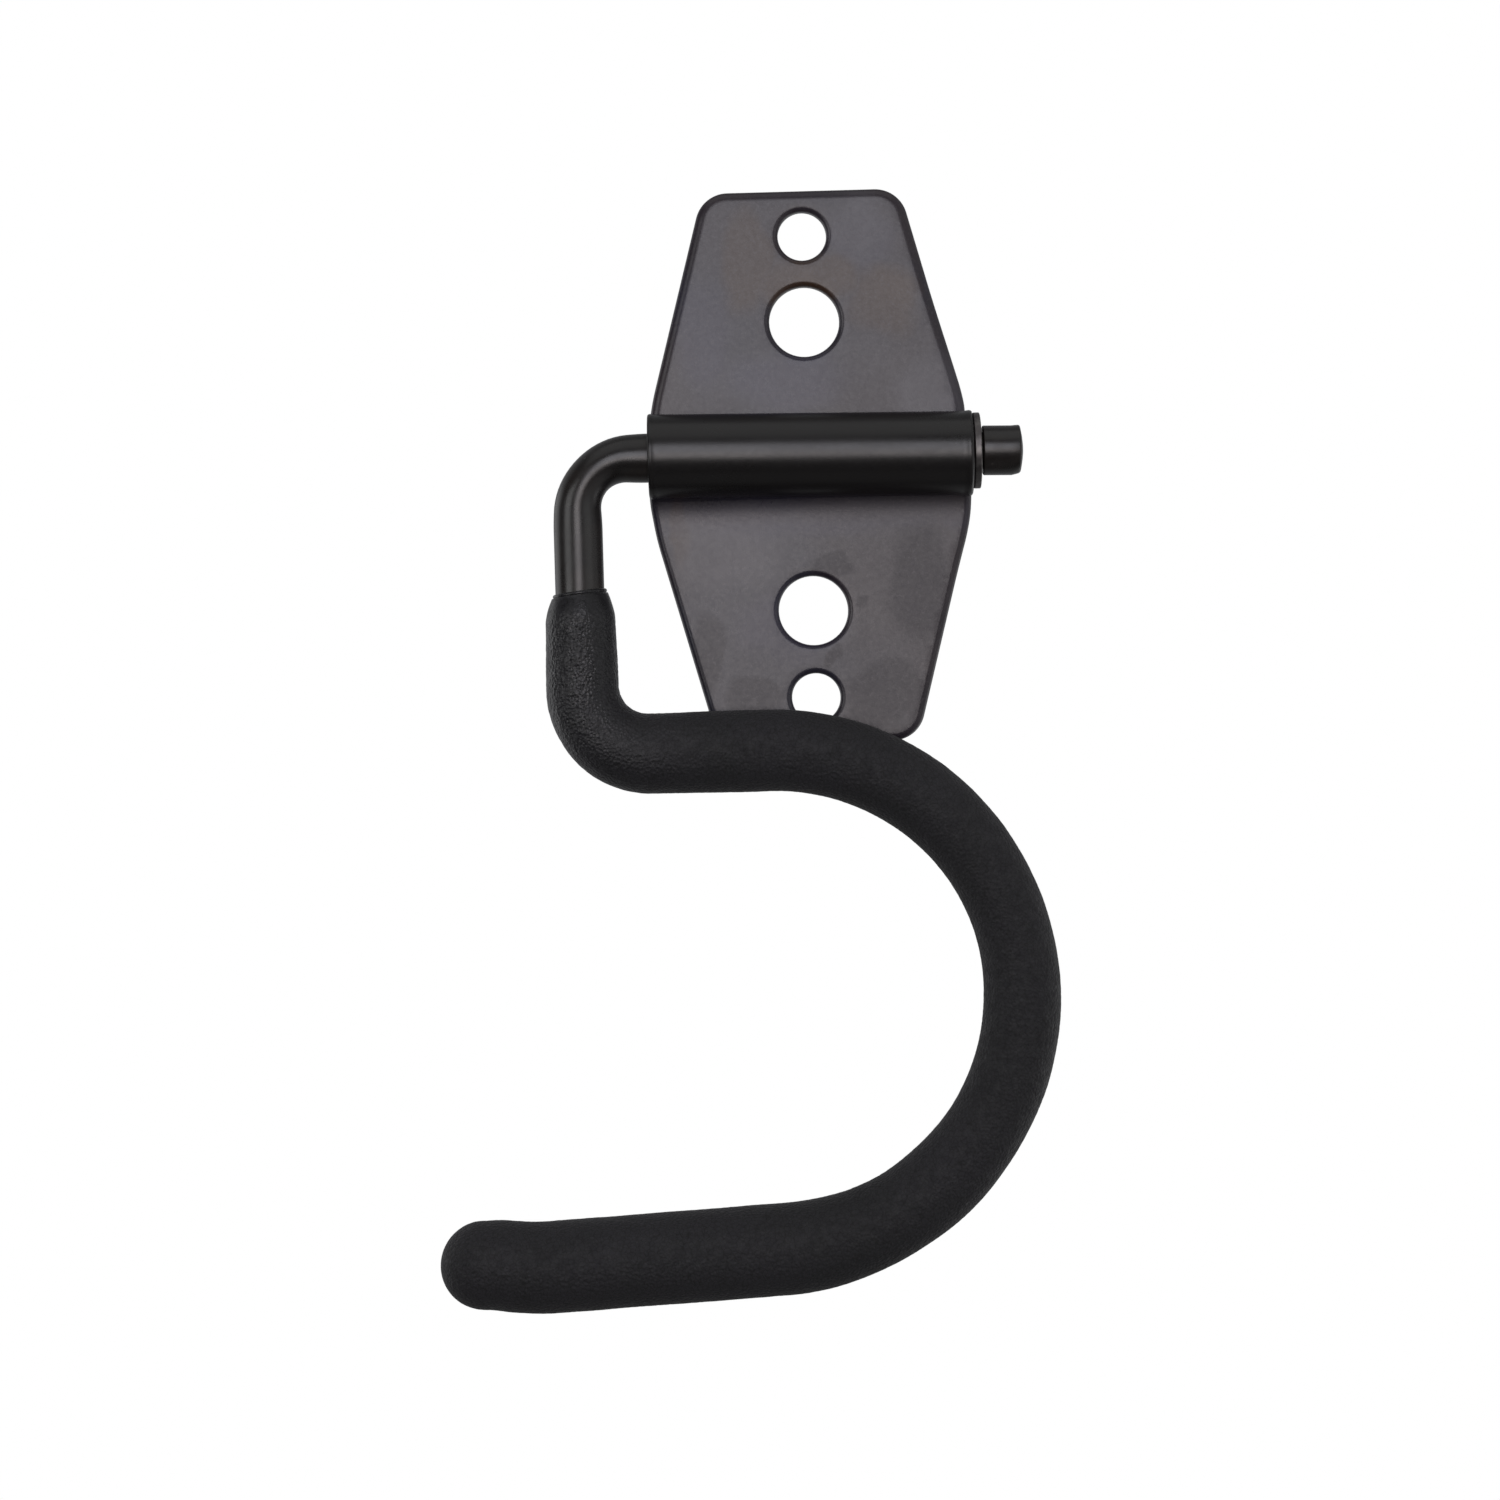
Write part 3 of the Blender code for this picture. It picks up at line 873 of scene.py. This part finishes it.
def build_wall_plate(material):
    outline = sheet_outline()
    flat = []
    faces = []
    borders = [rolled_loops(outline, [edge_roll(s) for s, _ in outline], flat, 1)]
    for x, radius in HOLES:
        s = PLATE_HALF_LENGTH + x if x < 0 else SHEET_LENGTH - PLATE_HALF_LENGTH + x
        loop = hole_loop(s, radius)
        borders.append(rolled_loops(loop, [HOLE_EDGE] * len(loop), flat, -1))
    for rings in borders:
        ring_faces(rings, faces)
    for level, lift in ((0, -SHEET / 2), (-1, SHEET / 2)):
        chosen = [rings[level] for rings in borders]
        loops = [np.array([flat[i][:2] for i in ring]) for ring in chosen]
        skin(chosen, flat, faces, lift, loops)
    points = [sheet_point(*p) for p in flat]
    plate = mesh_object("wall_plate_sheet", points, faces, material)
    plate.data.set_sharp_from_angle(angle=math.radians(50))
    return plate


# Hook rod


def rod_flatten(distance):
    """How the bar thins in the plane of its tight top bend."""
    middle = (TOP_BEND_START + TOP_BEND_END) / 2
    reach = (TOP_BEND_END - TOP_BEND_START) / 2 + 3 * MM
    return 1 - ROD_BEND_THINNING * eased(abs(distance - middle), reach, 0.0)


def rod_lean(distance):
    """How far the bar's low end leans to -X: nothing in most of the barrel, most at the very end."""
    share = 1 - distance / ROD_LEAN_LENGTH
    return -ROD_LEAN * min(max(share, 0.0), 1.0)


def sheared(distance, angle):
    """Lift of the bar's sheared end: a small burr on its +X side, a drawn-in edge on the other."""
    share = eased(distance, 1.8 * MM - STUB_DOME, -STUB_DOME)
    side = math.cos(angle)
    return share * (STUB_BURR * max(side, 0.0) - STUB_DRAWN_IN * max(-side, 0.0) ** 2)


def build_hook_rod(material):
    """The bar, with a sheared and slightly spread lower end and a turned groove."""
    groove_low = RING_LOW.z + RING_SHIFT_Z - 0.42 * MM - ROD_LOW_END_Z
    groove_high = BARREL_RIGHT_END_Z - ROD_LOW_END_Z
    dome = 0.45 * MM
    corner = 0.35 * MM
    groove_edge = 0.25 * MM
    break_edge = 0.05 * MM
    quarter = spread(0, math.pi / 2, math.pi / 12)
    profile = [(-STUB_DOME, 0.0)]
    for share in (0.35, 0.65, 0.9):
        profile.append((dome * share**2 - STUB_DOME, share * (STUB_RADIUS - corner)))
    for angle in quarter:
        back = dome - STUB_DOME + corner * (1 - math.cos(angle))
        profile.append((back, STUB_RADIUS - corner * (1 - math.sin(angle))))
    profile += [(d * MM, STUB_RADIUS) for d in (1.6, 3.2, 4.4)]
    for angle in quarter:
        away = groove_edge * (1 - math.sin(angle))
        profile.append((groove_low - away, STUB_RADIUS - groove_edge * (1 - math.cos(angle))))
    profile += [(groove_low, GROOVE_RADIUS + break_edge), (groove_low + break_edge, GROOVE_RADIUS)]
    profile += [(groove_high - break_edge, GROOVE_RADIUS), (groove_high, GROOVE_RADIUS + break_edge)]
    profile += [(groove_high, STUB_RADIUS), (groove_high + 0.15 * MM, ROD_RADIUS)]
    profile += [(d, ROD_RADIUS) for d in spread(groove_high + 1 * MM, NECK + 20 * MM, 0.7 * MM)]
    profile += [(d, ROD_RADIUS) for d in spread(NECK + 22 * MM, ROD_END - 0.5 * MM, 2 * MM)]
    profile += [(ROD_END, ROD_RADIUS - 0.5 * MM), (ROD_END, 0.0)]
    stations = [(d, r, rod_flatten(d), sheared if 0 < r and d < 2 * MM else None) for d, r in profile]
    rod = swept("hook_rod_bar", stations, ROD_SIDES, material, rod_lean)
    rod.data.set_sharp_from_angle(angle=math.radians(60))
    return rod


# Retaining ring


def build_ring(material):
    """A snap ring with three prongs, its mouth towards the wall, with small turned edges."""
    outer = (RING_HIGH.x - RING_LOW.x) / 2
    mouth = math.pi / 2
    whole = 2 * math.pi

    def arc(radius, start, end):
        steps = max(2, math.ceil(abs(end - start) / math.radians(3)))
        angles = [start + (end - start) * i / steps for i in range(steps + 1)]
        return [(radius * math.cos(a), radius * math.sin(a)) for a in angles]

    outline = arc(outer, mouth + RING_MOUTH_HALF_ANGLE, mouth + whole - RING_MOUTH_HALF_ANGLE)
    inner = (
        (RING_PRONG_RADIUS, *RING_SIDE_PRONG),
        (RING_POCKET_RADIUS, *RING_POCKET),
        (RING_PRONG_RADIUS, RING_BACK_PRONG_START, whole - RING_BACK_PRONG_START),
        (RING_POCKET_RADIUS, whole - RING_POCKET[1], whole - RING_POCKET[0]),
        (RING_PRONG_RADIUS, whole - RING_SIDE_PRONG[1], whole - RING_SIDE_PRONG[0]),
    )
    for radius, start, end in reversed(inner):
        outline += arc(radius, mouth + end, mouth + start)
    shape = bmesh.new()
    centre_x = AXIS_X + rod_lean(RING_LOW.z - ROD_LOW_END_Z)
    low_z = RING_LOW.z + RING_SHIFT_Z
    high_z = RING_HIGH.z + RING_SHIFT_Z
    low = [shape.verts.new((centre_x + x, AXIS_Y + y, low_z)) for x, y in outline]
    high = [shape.verts.new((centre_x + x, AXIS_Y + y, high_z)) for x, y in outline]
    shape.faces.new(low)
    shape.faces.new(high)
    for i in range(len(outline)):
        shape.faces.new((low[i - 1], low[i], high[i], high[i - 1]))
    bmesh.ops.recalc_face_normals(shape, faces=shape.faces)
    mesh = bpy.data.meshes.new("retaining_ring_clip")
    shape.to_mesh(mesh)
    shape.free()
    mesh.materials.append(material)
    ring = bpy.data.objects.new("retaining_ring_clip", mesh)
    bpy.context.scene.collection.objects.link(ring)
    bevel = ring.modifiers.new("edges", "BEVEL")
    bevel.width = RING_BEVEL
    bevel.segments = 3
    bevel.limit_method = "ANGLE"
    bevel.angle_limit = math.radians(60)
    mesh.shade_smooth()
    mesh.set_sharp_from_angle(angle=math.radians(60))
    return ring


# Foam sleeve


def tip_bend(distance):
    """How far the sleeve's end has set away from the route, to the outside of the hook."""
    return TIP_BEND * eased(distance, ROUTE_LENGTH - 18 * MM, ROUTE_LENGTH - 6 * MM)


def neck_slant(distance):
    """The sleeve's mouth is cut a little askew. Its skin straightens out over the next centimetre."""
    return NECK_SLANT * eased(distance, NECK + 10 * MM, NECK)


def sleeve_radius(distance):
    """The skin's radius at a distance from the mouth: a round shoulder, then from girth to girth."""
    shoulder, full = SLEEVE_GIRTH[0]
    if distance < shoulder:
        left = 1 - max(distance, 0.0) / shoulder
        return full - (full - SLEEVE_MOUTH_RADIUS) * left**SLEEVE_SHOULDER_POWER
    for (start, low), (end, high) in zip(SLEEVE_GIRTH, SLEEVE_GIRTH[1:]):
        if distance < end:
            return low + (high - low) * eased(distance, start, end)
    return SLEEVE_GIRTH[-1][1]


def foam_relief(distance, angle):
    """Leathery grain in pebbles under a millimetre, over slow dents of the moulded skin."""
    x, z, heading = point_on_route(distance)
    across = GRAIN_TUBE_RADIUS * math.cos(angle)
    place = Vector((
        x + across * math.cos(heading),
        GRAIN_TUBE_RADIUS * math.sin(angle),
        z + across * math.sin(heading),
    ))
    slow = noise.noise(place * 110) + 0.5 * noise.noise(place * 260)
    distances, _ = noise.voronoi(place * 1050)
    pebble = min(distances[1] - distances[0], 0.35) / 0.35
    strength = 0.65 + 0.45 * noise.noise(place * 90 + Vector((3.1, 0, 0)))
    strength += 0.5 * eased(distance, NECK + 45 * MM, NECK + 15 * MM)
    strength *= eased(distance, NECK, NECK + 7 * MM)
    return DENTS * slow + PEBBLES * (pebble - 0.7) * strength


def build_foam_sleeve(material):
    bore = ROD_RADIUS + 0.1 * MM
    tip_radius = SLEEVE_GIRTH[-1][1] - TIP_TAPER
    tip_start = ROUTE_LENGTH - tip_radius
    bore_end = ROD_END + 0.3 * MM
    stations = [(bore_end, 0.0, 1, None)]
    stations += [(d, bore, 1, None) for d in reversed(spread(NECK + 0.4 * MM, bore_end, 2.5 * MM))]
    half, height = BEAD
    for angle in spread(0, math.pi * 0.8, math.pi / 14):
        along = NECK + half * (1 - math.cos(angle))
        stations.append((along, bore + height * math.sin(angle), 1, None))
    for d in spread(NECK + 2 * half, tip_start, 0.38 * MM):
        taper = TIP_TAPER * eased(d, tip_start - 4 * MM, tip_start)
        stations.append((d, sleeve_radius(d - NECK) - taper, 1, foam_relief))
    for angle in spread(0, math.pi / 2, math.pi / 60)[1:-1]:
        along = tip_start + tip_radius * math.sin(angle)
        stations.append((along, tip_radius * math.cos(angle), 1, foam_relief))
    stations.append((ROUTE_LENGTH, 0.0, 1, None))
    return swept("foam_sleeve_skin", stations, SLEEVE_SIDES, material, tip_bend, neck_slant)


# Stage


def build_stage():
    """A plain pale floor, well below the hook, as under a wall."""
    middle_x = (cad_low.x + cad_high.x) / 2
    floor_z = cad_low.z - FLOOR_DROP
    points = []
    for i in range(FLOOR_TILES + 1):
        for j in range(FLOOR_TILES + 1):
            x = middle_x + FLOOR_SIDE * (i / FLOOR_TILES - 0.5)
            y = FLOOR_SIDE * (j / FLOOR_TILES - 0.5)
            points.append((x, y, floor_z))
    faces = []
    row = FLOOR_TILES + 1
    for i in range(FLOOR_TILES):
        for j in range(FLOOR_TILES):
            first = i * row + j
            faces.append([first, first + row, first + row + 1, first + 1])
    floor = mesh_object("floor", points, faces, pale_floor())


def soft_box(name, up, left, distance, size, radiance, colour=(1, 1, 1)):
    """An area light aimed at the object.

    up (+X) and left (+Z) are its direction in degrees from the front, as the camera looks.
    """
    data = bpy.data.lights.new(name, "AREA")
    data.shape = "RECTANGLE"
    data.size, data.size_y = size
    data.energy = math.pi * size[0] * size[1] * radiance
    data.color = colour
    light = bpy.data.objects.new(name, data)
    up, left = math.radians(up), math.radians(left)
    place = Vector((math.sin(up), -math.cos(up) * math.cos(left), math.cos(up) * math.sin(left)))
    turn = place.to_track_quat("Z", "X").to_matrix().to_4x4()
    light.matrix_world = Matrix.Translation(AIM + place * distance) @ turn
    light.visible_camera = False
    bpy.context.scene.collection.objects.link(light)


def build_world():
    """White for the camera. The object gets a pale backdrop's glow, dimmer from above and below."""
    world = bpy.data.worlds.new("studio")
    bpy.context.scene.world = world
    world.use_nodes = True
    tree = world.node_tree
    tree.nodes.clear()

    def background(colour):
        node = tree.nodes.new("ShaderNodeBackground")
        node.inputs["Color"].default_value = (*colour, 1)
        return node

    def ranged(value, limits, results, interpolation):
        node = tree.nodes.new("ShaderNodeMapRange")
        node.interpolation_type = interpolation
        names = ("From Min", "From Max", "To Min", "To Max")
        for name, number in zip(names, (*limits, *results)):
            node.inputs[name].default_value = number
        tree.links.new(value, node.inputs["Value"])
        return node.outputs["Result"]

    def maths(operation, *values):
        node = tree.nodes.new("ShaderNodeMath")
        node.operation = operation
        for value, socket in zip(values, node.inputs):
            tree.links.new(value, socket)
        return node.outputs["Value"]

    place = tree.nodes.new("ShaderNodeTexCoord")
    split = tree.nodes.new("ShaderNodeSeparateXYZ")
    tree.links.new(place.outputs["Generated"], split.inputs[0])
    climb = ranged(split.outputs["Y"], WORLD_DEPTHS, (WORLD_FRONT, WORLD_BACK), "SMOOTHSTEP")
    height = maths("ABSOLUTE", split.outputs["X"])
    dim = ranged(height, WORLD_HEIGHTS, (1.0, WORLD_TOP_SHARE), "LINEAR")
    seen = background((1, 1, 1))
    fill = background((0.96, 0.97, 1))
    tree.links.new(maths("MULTIPLY", climb, dim), fill.inputs["Strength"])
    path = tree.nodes.new("ShaderNodeLightPath")
    mix = tree.nodes.new("ShaderNodeMixShader")
    out = tree.nodes.new("ShaderNodeOutputWorld")
    tree.links.new(path.outputs["Is Camera Ray"], mix.inputs[0])
    tree.links.new(fill.outputs[0], mix.inputs[1])
    tree.links.new(seen.outputs[0], mix.inputs[2])
    tree.links.new(mix.outputs[0], out.inputs["Surface"])


def build_camera():
    """Straight at the front with the barrel lying across the picture, its top end to the left."""
    data = bpy.data.cameras.new("camera")
    data.lens = CAMERA_LENS
    data.sensor_width = 36
    camera = bpy.data.objects.new("camera", data)
    back = Vector((0, -1, 0))
    up = Vector((math.cos(CAMERA_ROLL), 0, -math.sin(CAMERA_ROLL)))
    right = up.cross(back)
    turn = Matrix((right, up, back)).transposed().to_4x4()
    camera.matrix_world = Matrix.Translation(AIM + back * CAMERA_DISTANCE) @ turn
    bpy.context.scene.collection.objects.link(camera)
    bpy.context.scene.camera = camera


build_camera()
build_world()
build_stage()

# Each has its name, its degrees up and left, its distance, its size, its radiance and its tint
soft_box("key_upper", 18.5, 1.0, 0.95, (0.42, 0.38), 3.2, (0.965, 0.955, 1.03))
soft_box("key_lower", 0.5, 2.5, 0.95, (0.42, 0.23), 3.8, (1.03, 0.955, 0.95))
soft_box("left", 5, 49, 1.0, (0.5, 0.6), 1.8)
soft_box("right", 5, -47, 1.0, (0.7, 0.5), 0.4)
soft_box("high", 72, 10, 1.0, (1.3, 0.9), 0.49)
soft_box("low", -72, 0, 1.0, (0.35, 0.8), 0.1)
soft_box("left_glow", 0, 118, 0.7, (0.5, 0.6), 0.55)
soft_box("right_glow", -20, -115, 0.3, (0.3, 0.2), 0.7)

bpy.context.scene.view_settings.view_transform = "Standard"

plate = build_wall_plate(plate_paint())
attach(plate, "bracket")
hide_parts("wall_plate")

rod = build_hook_rod(rod_paint())
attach(rod, "hook")
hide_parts("hook_rod")

ring = build_ring(ring_steel())
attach(ring, "hook")
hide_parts("retaining_ring")

sleeve = build_foam_sleeve(foam())
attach(sleeve, "hook")
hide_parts("foam_sleeve")
